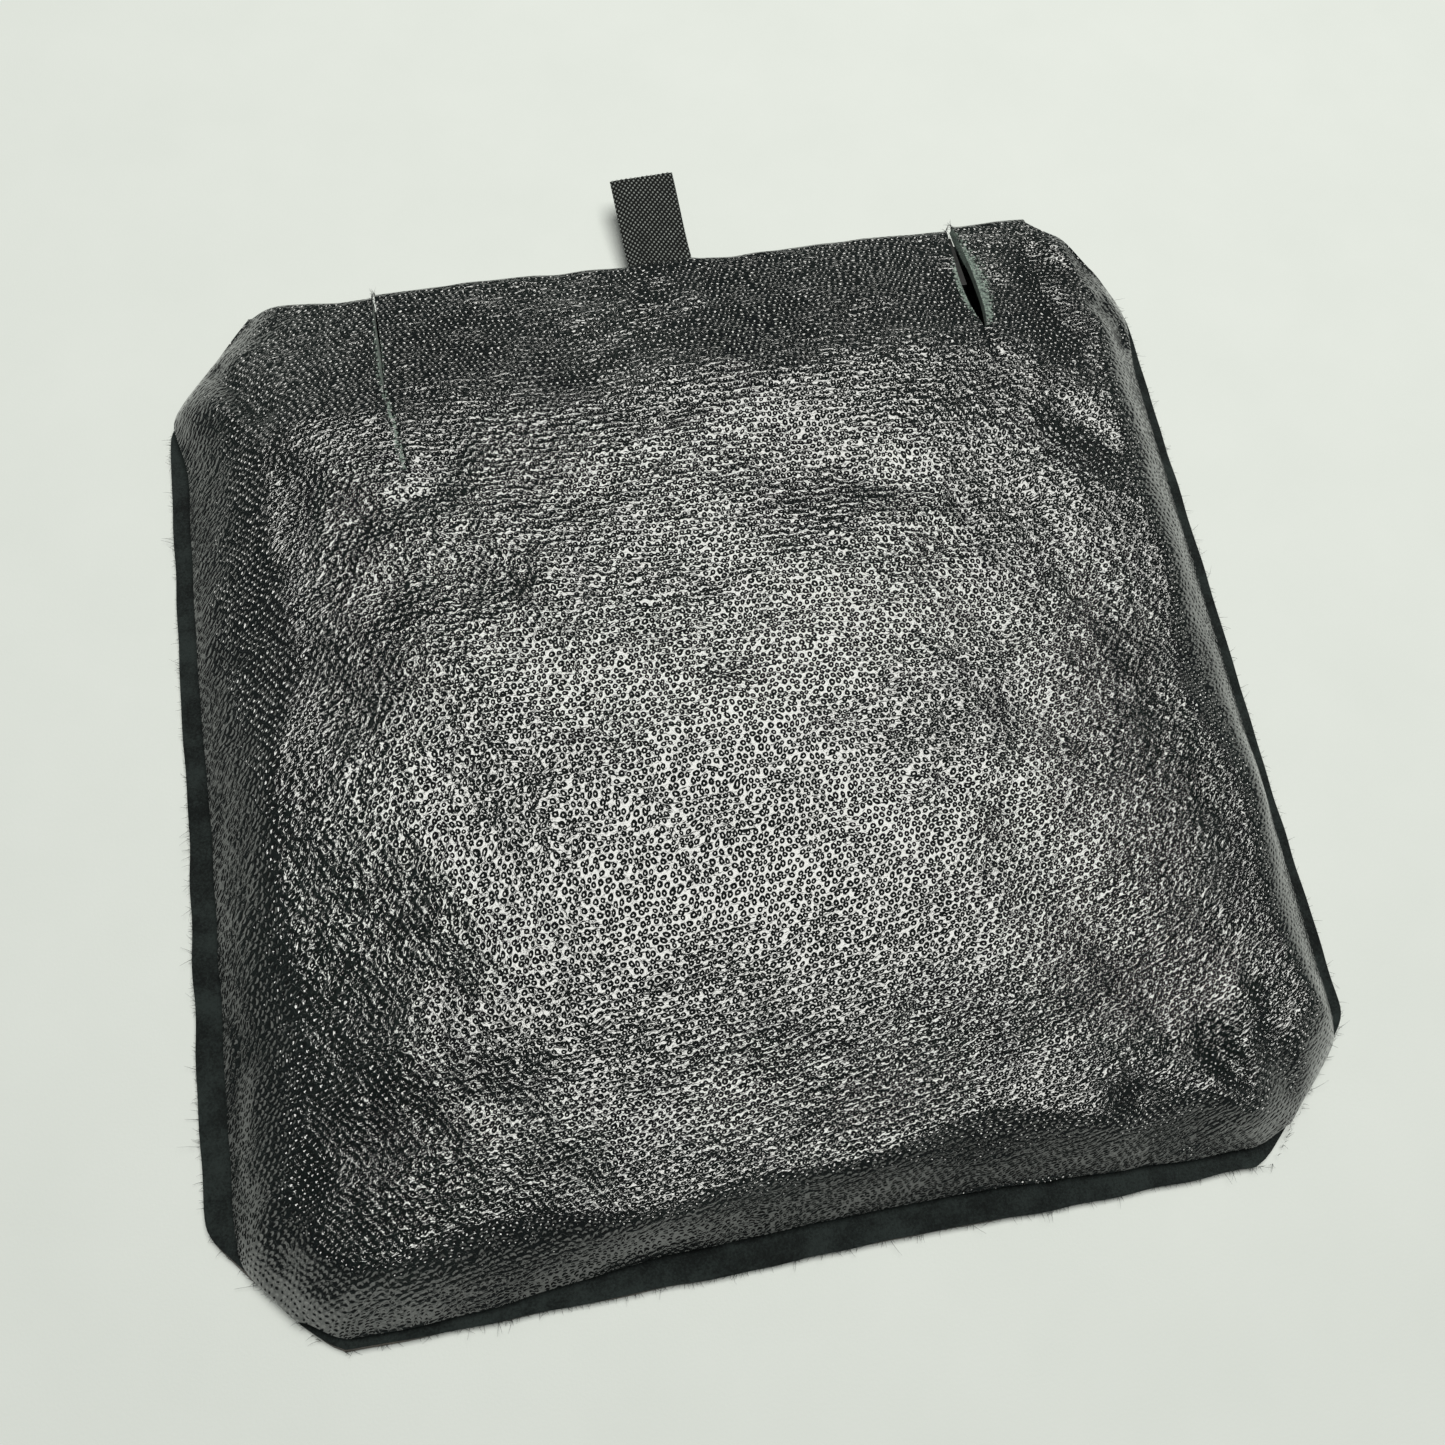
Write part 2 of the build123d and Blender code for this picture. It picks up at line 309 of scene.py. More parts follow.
class Shader:
    """A material being made, with one Principled shader."""

    def __init__(self, name, **settings):
        self.material = bpy.data.materials.new(name)
        self.material.use_nodes = True
        self.tree = self.material.node_tree
        self.surface = self.tree.nodes["Principled BSDF"]
        for socket, value in settings.items():
            self.surface.inputs[socket.replace("_", " ")].default_value = value

    def node(self, kind, inputs=None, **settings):
        made = self.tree.nodes.new(kind)
        for key, value in settings.items():
            setattr(made, key, value)
        for key, value in (inputs or {}).items():
            self.feed(made.inputs[key], value)
        return made

    def feed(self, socket, value):
        """Gives a socket another node's output, or a constant."""
        if isinstance(value, bpy.types.NodeSocket):
            self.tree.links.new(value, socket)
        else:
            socket.default_value = value

    def math(self, operation, *values):
        return self.node("ShaderNodeMath", dict(enumerate(values)), operation=operation).outputs[0]

    def vector_math(self, operation, first, second):
        inputs = {0: first, 1: second}
        return self.node("ShaderNodeVectorMath", inputs, operation=operation).outputs[0]

    def split(self, vector):
        return self.node("ShaderNodeSeparateXYZ", {0: vector}).outputs

    def ramp(self, value, low, high, low_out=0.0, high_out=1.0):
        """value mapped from low..high to low_out..high_out, eased at both ends."""
        inputs = {0: value, 1: low, 2: high, 3: low_out, 4: high_out}
        return self.node("ShaderNodeMapRange", inputs, interpolation_type="SMOOTHSTEP").outputs[0]

    def mix(self, factor, *colours):
        made = self.node("ShaderNodeMix", {0: factor}, data_type="RGBA")
        for socket, colour in zip(made.inputs[6:8], colours):
            self.feed(socket, (*colour, 1.0) if isinstance(colour, tuple) else colour)
        return made.outputs[2]

    def scaled(self, vector, scale):
        return self.node("ShaderNodeMapping", {"Vector": vector, "Scale": scale}).outputs[0]

    def attribute(self, name):
        """A mesh attribute. "grain" is a sheet's own coordinates, so a pattern bends with it."""
        return self.node("ShaderNodeAttribute", attribute_name=name).outputs["Vector"]

    def place(self):
        """Object coordinates in millimetres."""
        return self.scaled(self.node("ShaderNodeTexCoord").outputs["Object"], (1 / MM,) * 3)

    def noise(self, vector, scale, detail=2.0, roughness=0.5, dimensions="3D"):
        inputs = {"Vector": vector, "Scale": scale, "Detail": detail, "Roughness": roughness}
        return self.node("ShaderNodeTexNoise", inputs, noise_dimensions=dimensions).outputs[0]

    def set(self, socket, value):
        self.tree.links.new(value, self.surface.inputs[socket])

    def bump(self, height, distance):
        """A bumped normal, where a height of 1 stands this many millimetres high."""
        inputs = {"Height": height, "Distance": distance * MM, "Strength": 1.0}
        return self.node("ShaderNodeBump", inputs).outputs[0]


PORE_PITCH = 0.95  # between pores in a row
PORE_ROW = 0.82  # between rows
PORE_RADIUS = 0.40
PORE_SCATTER = 0.36  # how far the pores stray from their rows
PORE_DEPTH = 0.14
GRAIN_SWAY = 1.6  # how far the rows themselves wander
GRAIN_BLACK = (0.0022, 0.0042, 0.0046)
GRAIN_WORN = (0.0070, 0.0105, 0.0100)
# the pores' base colour, darker than the land's: painted shade in the pores
PORE_SHADE = (0.002, 0.0025, 0.0025)
SCUFF_DARK = (0.03, 0.05, 0.045)
SCUFF_PALE = (0.26, 0.34, 0.29)
COAT = 0.45
# the tape's base colours: near-black in the gaps, partly the yarn's own black and partly painted shade,
# and two pales for the yarn crowns, a painted highlight
TAPE_GAP_SHADE = (0.0012, 0.0015, 0.0015)
TAPE_GLINT_DIM = (0.11, 0.12, 0.115)
TAPE_GLINT_BRIGHT = (0.38, 0.41, 0.39)


def pores(s, flat):
    """Distance in millimetres to the nearest pore's middle, and a number for each pore.

    The pores lie in staggered rows: a square pattern sheared by half a step.
    """
    x, y, _ = s.split(flat)
    row = s.math("DIVIDE", y, PORE_ROW)
    column = s.math("MULTIPLY_ADD", x, 1 / PORE_PITCH, s.math("MULTIPLY", row, 0.5))
    sheared = s.node("ShaderNodeCombineXYZ", {0: column, 1: row}).outputs[0]
    inputs = {"Vector": sheared, "Scale": 1.0, "Randomness": PORE_SCATTER}
    cells = s.node("ShaderNodeTexVoronoi", inputs, voronoi_dimensions="2D")
    away_x, away_y, _ = s.split(s.vector_math("SUBTRACT", sheared, cells.outputs["Position"]))
    rise = s.math("MULTIPLY", away_y, PORE_ROW)
    run = s.math("MULTIPLY", s.math("MULTIPLY_ADD", away_y, -0.5, away_x), PORE_PITCH)
    squares = s.math("MULTIPLY_ADD", run, run, s.math("MULTIPLY", rise, rise))
    number = s.node("ShaderNodeSeparateColor", {0: cells.outputs["Color"]}).outputs[0]
    return s.math("SQRT", squares), number


def swayed(s, flat):
    """The sheet's coordinates, moved about so that the rows of pores wander."""
    inputs = {"Vector": flat, "Scale": 0.2, "Detail": 2.0}
    noise = s.node("ShaderNodeTexNoise", inputs, noise_dimensions="2D")
    centred = s.vector_math("SUBTRACT", noise.outputs["Color"], (0.5, 0.5, 0.5))
    return s.vector_math("ADD", flat, s.vector_math("MULTIPLY", centred, (GRAIN_SWAY,) * 3))


def scuffs(s):
    """How scuffed the grain is, from 0 to 1, and the scuffs' colour."""
    wear = s.split(s.attribute("wear"))[0]
    nap = s.noise(s.place(), 2.6, 4.0, 0.7)
    ragged = s.math("MULTIPLY_ADD", nap, 2.4, s.math("SUBTRACT", wear, 1.2))
    scuffed = s.math("MULTIPLY", s.ramp(ragged, 0.3, 0.65), s.ramp(wear, 0.0, 0.15))
    return scuffed, s.mix(s.ramp(nap, 0.38, 0.66), SCUFF_DARK, SCUFF_PALE)


def grain_leather():
    """Black finished leather: close round pores in rows, worn glossy land and fine creases."""
    s = Shader("grain_leather", Specular_IOR_Level=1.0, Coat_Roughness=0.09, Coat_IOR=1.65)
    flat = s.attribute("grain")
    bent = swayed(s, flat)
    distance, number = pores(s, bent)
    size = s.math("MULTIPLY_ADD", number, 0.10, PORE_RADIUS - 0.05)
    land = s.ramp(s.math("DIVIDE", distance, size), 0.15, 1.0)
    ripple = s.noise(s.scaled(bent, (0.5, 1.0, 1.0)), 1.1, 2.0, 0.5, "2D")
    fine = s.noise(flat, 3.4, 2.0, 0.6, "2D")
    broad = s.noise(flat, 0.045, 3.0, 0.5, "2D")
    creased = s.ramp(broad, 0.42, 0.62)
    height = s.math("MULTIPLY", ripple, s.math("MULTIPLY_ADD", creased, 0.9, 1.0))
    pebble = s.math("MULTIPLY", land, s.math("MULTIPLY_ADD", number, 0.5, 0.75))
    height = s.math("MULTIPLY_ADD", fine, 0.16, s.math("ADD", height, pebble))
    bumped = s.bump(height, PORE_DEPTH)
    s.set("Normal", bumped)
    s.set("Coat Normal", bumped)
    tone = s.mix(s.ramp(broad, 0.3, 0.7), GRAIN_BLACK, GRAIN_WORN)
    scuffed, scuff_colour = scuffs(s)
    # the pores get the darker base colour, painted shade in them; the scuffs' colour goes over it
    s.set("Base Color", s.mix(scuffed, s.mix(land, PORE_SHADE, tone), scuff_colour))
    rough = s.math("MULTIPLY_ADD", s.noise(flat, 0.12, 3.0, 0.6, "2D"), 0.12, 0.09)
    s.set("Roughness", s.math("MULTIPLY_ADD", scuffed, 0.5, rough))
    s.set("Coat Weight", s.math("MULTIPLY_ADD", scuffed, -COAT, COAT))
    return s.material


def suede(name, dark, light, sheen):
    """The rough flesh side of leather, or its cut edge: matte, fibrous and slightly mottled."""
    s = Shader(name, Roughness=0.95, Specular_IOR_Level=0.2, Sheen_Weight=sheen, Sheen_Roughness=0.5)
    place = s.place()
    nap = s.noise(place, 3.2, 4.0, 0.75)
    patch = s.noise(place, 0.22, 3.0, 0.6)
    s.set("Base Color", s.mix(s.ramp(s.math("ADD", nap, patch), 0.75, 1.25), dark, light))
    s.set("Normal", s.bump(s.math("MULTIPLY_ADD", patch, 0.8, nap), 0.22))
    return s.material


def woven(name, dark, light, pitch):
    """Cloth of crossing yarns at this pitch."""
    s = Shader(name, Roughness=0.75, Specular_IOR_Level=0.35, Sheen_Weight=0.3, Sheen_Roughness=0.4)
    flat = s.scaled(s.attribute("grain"), (1 / pitch, 1 / pitch, 1.0))
    yarns = [s.math("SINE", s.math("MULTIPLY", value, 2 * math.pi)) for value in s.split(flat)[:2]]
    height = s.math("MULTIPLY", *yarns)
    fibre = s.noise(flat, 2.5, 3.0, 0.6)
    shade = s.math("MULTIPLY_ADD", height, 0.35, fibre)
    s.set("Base Color", s.mix(s.ramp(shade, 0.25, 0.85), dark, light))
    s.set("Normal", s.bump(s.math("MULTIPLY_ADD", fibre, 0.5, height), 0.06))
    return s.material


YARN_PITCH = 0.37  # of the tape's lengthwise yarns
PICK_PITCH = 0.42  # of its crosswise yarns
PICK_SLOPE = 0.12  # how much its rows rise from one yarn to the next
SPINE = 2.3  # how far across the tape its rows change direction


def tape_yarn():
    """The tape's yarn: its base colour is pale where a yarn comes to the top of the mesh's weave, a
    painted highlight for the glints on the yarn crowns, and near-black between, partly the yarn's own
    black and partly painted shade in the gaps.
    """
    s = Shader("tape_yarn", Specular_IOR_Level=0.2)
    flat = s.attribute("grain")
    across, along, _ = s.split(flat)
    yarn = s.math("DIVIDE", across, YARN_PITCH)
    from_spine = s.math("ABSOLUTE", s.math("SUBTRACT", across, SPINE))
    lean = s.math("MULTIPLY", from_spine, PICK_SLOPE / YARN_PITCH)
    pick = s.math("MULTIPLY_ADD", along, 1 / PICK_PITCH, lean)
    waves = [s.math("COSINE", s.math("MULTIPLY", value, math.pi)) for value in (yarn, pick)]
    on_top = s.ramp(s.math("MULTIPLY", *waves), 0.1, 0.7)
    fibre = s.noise(s.scaled(flat, (9.0, 2.2, 1.0)), 1.0, 3.0, 0.65)
    tone = s.math("MULTIPLY_ADD", s.noise(flat, 0.5, 2.0, 0.5), 0.5, fibre)
    # pale crowns: a painted highlight standing in for the yarns' glints
    painted_glint = s.mix(s.ramp(tone, 0.5, 1.05), TAPE_GLINT_DIM, TAPE_GLINT_BRIGHT)
    s.set("Base Color", s.mix(on_top, TAPE_GAP_SHADE, painted_glint))
    s.set("Roughness", s.math("MULTIPLY_ADD", on_top, -0.5, s.ramp(fibre, 0.3, 0.7, 0.84, 0.74)))
    s.set("Normal", s.bump(fibre, 0.03))
    return s.material


def foam():
    """Closed-cell foam sheet: small bubbles and a chalky surface."""
    s = Shader("foam_sheet", Roughness=0.9, Specular_IOR_Level=0.3)
    place = s.place()
    cells = s.node("ShaderNodeTexVoronoi", {"Vector": place, "Scale": 2.4}).outputs["Distance"]
    s.set("Base Color", s.mix(s.ramp(cells, 0.1, 0.7), (0.035, 0.036, 0.037), (0.085, 0.086, 0.088)))
    s.set("Normal", s.bump(cells, 0.12))
    return s.material


def spring_steel():
    """Bright rolled strip, with fine lines along it."""
    s = Shader("spring_steel", Metallic=1.0, Roughness=0.25, Anisotropic=0.5)
    lines = s.noise(s.scaled(s.place(), (0.05, 9.0, 9.0)), 1.0, 3.0)
    s.set("Base Color", s.mix(lines, (0.52, 0.53, 0.55), (0.72, 0.73, 0.74)))
    s.set("Roughness", s.math("MULTIPLY_ADD", lines, 0.25, 0.14))
    s.set("Normal", s.bump(lines, 0.01))
    return s.material


def moulded(name, dark, light, roughness):
    """Moulded or dried material with a faint mottle."""
    s = Shader(name, Roughness=roughness)
    mottle = s.noise(s.place(), 0.9, 4.0, 0.6)
    s.set("Base Color", s.mix(mottle, dark, light))
    s.set("Roughness", s.math("MULTIPLY_ADD", mottle, 0.2, roughness - 0.1))
    s.set("Normal", s.bump(mottle, 0.05))
    return s.material


def paper():
    """The pale floor, with the faint mottle of uncoated paper."""
    s = Shader("paper", Roughness=0.85, Specular_IOR_Level=0.2)
    place = s.place()
    mottle = s.noise(place, 0.05, 5.0, 0.6)
    s.set("Base Color", s.mix(mottle, (0.74, 0.775, 0.752), (0.80, 0.83, 0.812)))
    s.set("Normal", s.bump(s.noise(place, 2.5, 3.0, 0.6), 0.02))
    return s.material


GRAIN = grain_leather()
FLESH = suede("flesh_side", (0.0035, 0.0055, 0.0055), (0.022, 0.030, 0.029), 0.12)
SLIT_EDGE = suede("slit_cut_edge", (0.04, 0.06, 0.055), (0.22, 0.29, 0.25), 0.2)
CEMENT = moulded("dried_cement", (0.004, 0.005, 0.005), (0.014, 0.018, 0.018), 0.8)
OUTER_EDGE = suede("outer_cut_edge", (0.03, 0.022, 0.015), (0.12, 0.085, 0.055), 0.3)


# ---- front leather


EDGE_Z = 2.1  # the front's outer face at its cut edge
CORNER_POWER = 5  # how sharply neighbouring slopes meet
CORNER_MARGIN = 0.3  # how far in the front's cut edge lies at the corners
CHAMFER_SLOPE = 11.0  # width of the slope at a cut corner
EAR_REACH = {-1: 1.6, 1: 0.7}  # how much further out along y than the lip each ear runs
EAR_DROP = {-1: 0.7, 1: -0.4}  # how much lower than the lip it lies at the mouth
EAR_LENGTH = 6.0  # of the ears' turned edges
FOAM_COVER = 0.25  # the least height of the front's outer face above the foam
CREST = 0.25  # the most that its waves rise above the plateau
SLIT_DRIFT = 0.5  # how far to the left the slits lean over their length

# Each side of the raised part: outward direction, the cut edge's distance along it from the
# origin (of a square side, before its own unevenness), and how far in the plateau starts
SLOPES = [
    (-1, 0, BACK_HIGH[0], 11.0),
    (1, 0, BACK_HIGH[0], 8.0),
    (0, -1, -FRONT_LOW[1], 8.0),
]
for (side_x, side_y), (leg_x, leg_y) in CORNERS.items():
    length = math.hypot(leg_x, leg_y)
    out = (side_x * leg_y / length, side_y * leg_x / length)
    reach = side_x * BACK_HIGH[0] * out[0] + side_y * (BACK_HIGH[1] - leg_y) * out[1]
    SLOPES.append((*out, reach - CORNER_MARGIN, CHAMFER_SLOPE))


def front_margin(y, side):
    """How far in from the back's side the front's cut edge lies, at y."""
    if side > 0:
        return 2.0 - 1.2 * smooth_step(y, 44, 56)
    return 3.0 + 0.9 * smooth_step(-y, -30, 40) - 2.4 * smooth_step(y, 46, 60)


def front_low_drop(x):
    """How much lower than in the CAD the front's bottom edge lies, at x: most by the corners."""
    return 0.6 + 2.4 * smooth_step(-x, 15, 50) + 1.4 * smooth_step(x, 20, 55)


LEFT_SCORE = ((-41.2, 53.5), (-39.7, 40.5))  # a shallow cut that runs on from the left slit

# Folds and dents, listed one by one: start, end, width, height
FOLDS = [
    ((-67, 64), (-59, 53.5), 2.2, -1.3),
    ((-73, 58.5), (-66, 67.5), 2, 0.9),
    ((-56, 48.5), (-43, 47.5), 4.2, 0.25),
    ((-62, 50), (-56, 40), 4, -0.35),
    ((64, 67), (67.5, 58), 1.7, 0.8),
    ((59.5, 66), (60.5, 50), 3, -0.7),
    ((69.5, 54.5), (71.5, 50.5), 2.4, -1.3),
    ((69.5, 61), (73, 58), 1.8, 0.5),
    ((52, 48), (57, 40.5), 5, 0.35),
    ((57, 36), (64, 28), 3.6, -0.55),
    ((41.5, -61), (48, -66), 3, -0.8),
    ((53, -55.5), (55, -60.5), 2, -0.8),
    ((60, -56.5), (62.5, -61.5), 2.2, -1),
    ((58, -50), (58.5, -56), 2.4, 0.6),
    ((53.5, -62), (57, -66), 2.6, 0.6),
    ((-57.5, -58), (-53.5, -58.5), 3.4, 1.1),
    ((-64.5, -60), (-61.5, -54), 2.6, -0.8),
    ((-69, -50), (-67, -41), 1.8, 0.5),
    ((-56, -49), (-22, -45), 5, -0.2),
    (*LEFT_SCORE, 0.6, -0.3),
    ((-36, 51), (-33.5, 42), 3, -0.35),
    ((48.8, 52), (49.6, 47), 1, -0.2),
    ((-58, 26), (-28, 22.5), 4.2, -0.3),
    ((-46, 33), (-34, 37), 3, -0.26),
    ((-3.5, 3.6), (4, 5.4), 0.8, -0.15),
    ((-7, 15), (2, 17), 1.1, -0.12),
    ((20, 32), (50, 24), 6, -0.35),
    ((-10, 36), (16, 39), 5, -0.25),
    ((34, -20), (47, -46), 5, -0.25),
    ((-50, -20), (-44, -40), 7, -0.15),
    ((-20, -28), (4, -12), 12, 0.35),
]


def inside_edges(x, y):
    """How far x, y is inside each of the front's cut edges, with how wide and full its slope is."""
    for out_x, out_y, reach, slope in SLOPES:
        if out_y == 0:
            reach = reach - front_margin(y, out_x)
        elif out_x == 0:
            reach = reach + front_low_drop(x) - low_lift(x)
        open_ear = 0.0  # the right ear's slopes are shallow, because it stands open
        if out_x > 0 and out_y >= 0:
            open_ear = 0.75 * smooth_step(y, 57, 71)
        yield np.clip(reach - (x * out_x + y * out_y), 0, None), slope, 1 - open_ear


def slope_drop(share):
    """How far the front falls, from 1 at its cut edge to 0 on the plateau: a round shoulder."""
    return (1 - np.clip(share, 0, 1)) ** 1.6


def over_pad(x, y, z):
    """z, but never under the foam's top face."""
    inside = np.minimum(x - PAD_LOW[0], PAD_HIGH[0] - x)
    inside = np.minimum(inside, np.minimum(y - PAD_LOW[1], PAD_HIGH[1] - y))
    least = PAD_HIGH[2] + FOAM_COVER - 1.5 * softplus(-inside, 0.4)
    return least + softplus(z - least, 0.1)


def ear_drop(x, y, ear, above_slit):
    """How much lower than the lip an ear lies, above the slits' lower ends."""
    from_slit = (SLIT_LEFT - x) if ear < 0 else (x - SLIT_RIGHT)
    drop = above_slit * (EAR_DROP[ear] + 0.06 * np.clip(from_slit, 0, None))
    return drop - SLIT_CURL * smooth_step(y, SLIT_END_Y, SLIT_END_Y + 3) * np.exp(-from_slit / 0.7)


def hem_marks(x, y, above_slit):
    """The lip's relief over what is inside it: a groove at the hem's end and a bump over the tape."""
    groove = 0.22 * np.exp(-(((y - MOUTH_Y + HEM_LENGTH) / 1.3) ** 2)) * above_slit
    over_tape = smooth_step(x, ENDS_LOW[0] - 1.2, ENDS_LOW[0] + 0.6)
    over_tape = over_tape * (1 - smooth_step(x, ENDS_HIGH[0] - 0.6, ENDS_HIGH[0] + 1.2))
    return 0.28 * over_tape * smooth_step(y, ENDS_LOW[1] - 1.5, ENDS_LOW[1] + 1.0) - groove


def front_height(x, y, ear):
    """z of the front's outer face. ear is -1, 0 or 1: the left ear, the rest, or the right ear."""
    drops = []
    uneven = 1 + 0.16 * rumple(x, y, 38, 106)
    for inside, slope, full in inside_edges(x, y):
        drops.append((PLATEAU_Z - EDGE_Z) * full * slope_drop(inside / (slope * uneven)))
    fall = (PLATEAU_Z - LIP_TOP_Z) / (MOUTH_Y - SLOPE_START_Y)
    mouth = fall * softplus(y - SLOPE_START_Y, 1.3)
    above_slit = smooth_step(y, SLIT_END_Y, MOUTH_Y)
    drops.append(mouth + ear_drop(x, y, ear, above_slit) if ear else mouth)
    z = PLATEAU_Z - sum(d**CORNER_POWER for d in drops) ** (1 / CORNER_POWER)
    inland = smooth_step(z, EDGE_Z, EDGE_Z + 2.5)
    for start, end, width, height in FOLDS:
        z = z + height * stroke(x, y, start, end, width) * inland
    z = z + 0.20 * rumple(x, y, 42, 101) * inland
    z = z + 0.09 * rumple(x, y, 17, 102) * inland
    slope_zone = 1 - smooth_step(z, PLATEAU_Z - 3.0, PLATEAU_Z - 0.5)
    z = z + (0.025 + 0.06 * slope_zone) * rumple(x, y, 7.0, 103) * inland
    z = z + 0.010 * rumple(x * 0.6, y, 3.0, 104) * inland
    if not ear:
        z = z + hem_marks(x, y, above_slit)
    return over_pad(x, y, np.minimum(z, PLATEAU_Z + CREST))


def front_wear(x, y, ear):
    """How pale the grain is scuffed along the slits, from 0 to about 1."""
    up = np.clip((y - SLIT_END_Y) / (MOUTH_Y - SLIT_END_Y), 0, 1)
    pale = 0.7 * stroke(x, y, *LEFT_SCORE, 0.35)
    for side, slit in ((-1, SLIT_LEFT), (1, SLIT_RIGHT)):
        slit = slit - SLIT_DRIFT * up
        gap = slit_gap(y, side)
        if ear == side:
            away = side * (x - slit) - gap
            width, most = {-1: (0.5, 0.6), 1: (1.1 + 0.9 * up, 1.1)}[side]
            shape = np.sin(math.pi * up**0.6)
        else:
            away = side * (slit - x) - gap
            width, most = {-1: (0.3, 0.4), 1: (0.75, 0.9)}[side]
            shape = np.sin(math.pi * np.clip(up * 1.3, 0, 1))
        pale = pale + most * shape * np.exp(-np.clip(away / width, 0, 9) ** 2)
    return np.clip(pale, 0, 1.2)


def grain_flow(x, y):
    """The leather's own coordinates: rows of pores run along the first one, and bend with the hide."""
    left = np.clip(-40.0 - x, 0, None)
    lower_right = np.clip((x - y - 12.0) / math.sqrt(2), 0, None)
    drift = 0.011 * left**2 - 0.0052 * lower_right**2 + 2.2 * rumple(x, y, 75, 55)
    return np.stack([x, y + drift], axis=-1)


SLIT_GAPS = {-1: (0.5, 0.35), 1: (0.4, 2.1)}  # how wide at the mouth, and at the widest below it


def slit_gap(y, side):
    """Half the slit's width at y, from nothing at its lower end."""
    at_mouth, at_middle = SLIT_GAPS[side]
    share = np.clip((y - SLIT_END_Y) / (MOUTH_Y - SLIT_END_Y), 0, 1)
    return 0.5 * (at_mouth * share + at_middle * np.sin(math.pi * share**0.75) ** 0.9)


def front_block(rows, left, right, columns, ear):
    """A grid of the front's outer face between two side lines."""
    x, y = grid_between(rows, left, right, columns)
    outer = {-1: left, 0: np.full_like(left, np.inf), 1: right}[ear]
    from_chamfer = smooth_step(np.abs(x - outer[:, None]), 0, 6)
    y = y + (low_waves(x) - front_low_drop(x) * from_chamfer) * near_bottom(y, FRONT_LOW[1])
    if ear:
        y = y + EAR_REACH[ear] * smooth_step(y, 58, MOUTH_Y - 1) * smooth_step(np.abs(x), 44, 60)
    z = front_height(x, y, ear)
    return np.stack([x, y, z], axis=-1)


TURN = np.linspace(0, math.pi, 9)[1:]  # the angles of a turned edge's rows
TURNED_SPACING = 1.0  # between the rows after them


def turned_edge(edge, inward, radius, length):
    """Rows that turn a sheet's edge under and back: edge is its last row, inward the way back."""
    turned = []
    for angle in TURN:
        row = edge.copy()
        row[:, 1] += radius * math.sin(angle)
        row[:, 2] -= radius * (1 - math.cos(angle))
        turned.append(row)
    for run in np.arange(TURNED_SPACING, length, TURNED_SPACING):
        turned.append(turned[len(TURN) - 1] + inward * run)
    return np.stack(turned)


def turned_share(turned):
    """0 to 1 over a turned edge's rounded rows, and 1 after them."""
    return np.clip(np.arange(1, len(turned) + 1) / len(TURN), 0, 1)[:, None]


def front_hem(points, rows, ear):
    """The part of a block that is turned under at the mouth: its points, grain and thickness."""
    edge = points[-1]
    inward = points[-2] - edge
    inward[:, 0] = 0
    inward /= np.linalg.norm(inward, axis=1, keepdims=True)
    if ear:
        radius = np.clip((edge[:, 2] - LEATHER - 0.15) / 2, 0.55, HEM_THICKNESS / 2)
        length = EAR_LENGTH
    else:
        radius = np.full(len(edge), HEM_THICKNESS / 2)
        length = HEM_LENGTH - HEM_THICKNESS / 2
        inward[:] = inward.mean(axis=0)
    turned = turned_edge(edge, inward, radius, length)
    t = np.linspace(0, 1, len(edge))
    inset = HEM_INSET * turned_share(turned)
    low_x = np.interp(turned[..., 1], rows, points[:, 0, 0]) + inset
    high_x = np.interp(turned[..., 1], rows, points[:, -1, 0]) - inset
    turned[..., 0] = low_x * (1 - t) + high_x * t
    arc = TURN * HEM_THICKNESS / 2
    runs = np.concatenate([arc, arc[-1] + np.arange(TURNED_SPACING, length, TURNED_SPACING)])
    flat_x = np.repeat(edge[None, :, 0], len(runs), axis=0)
    flat_y = grain_flow(edge[:, 0], edge[:, 1])[None, :, 1] + runs[:, None]
    return turned, np.stack([flat_x, flat_y], axis=-1), np.minimum(LEATHER, radius * 0.78)[None, :]


def front_blocks(rows):
    """The front's outer face as three grids, by ear as in front_height, and x of its two sides."""
    outer = {}
    for side in (-1, 1):
        outer[side] = side_line(rows, side, front_margin(rows, side), CORNER_MARGIN)
        outer[side] = outer[side] + side_waves(rows, side)
    drift = SLIT_DRIFT * np.clip((rows - SLIT_END_Y) / 20, 0, 1)
    slit_left, slit_right = SLIT_LEFT - drift, SLIT_RIGHT - drift
    gap_left, gap_right = slit_gap(rows, -1), slit_gap(rows, 1)
    blocks = {
        -1: front_block(rows, outer[-1], slit_left - gap_left, 68, -1),
        0: front_block(rows, slit_left + gap_left, slit_right - gap_right, 182, 0),
        1: front_block(rows, slit_right + gap_right, outer[1], 50, 1),
    }
    return blocks, outer


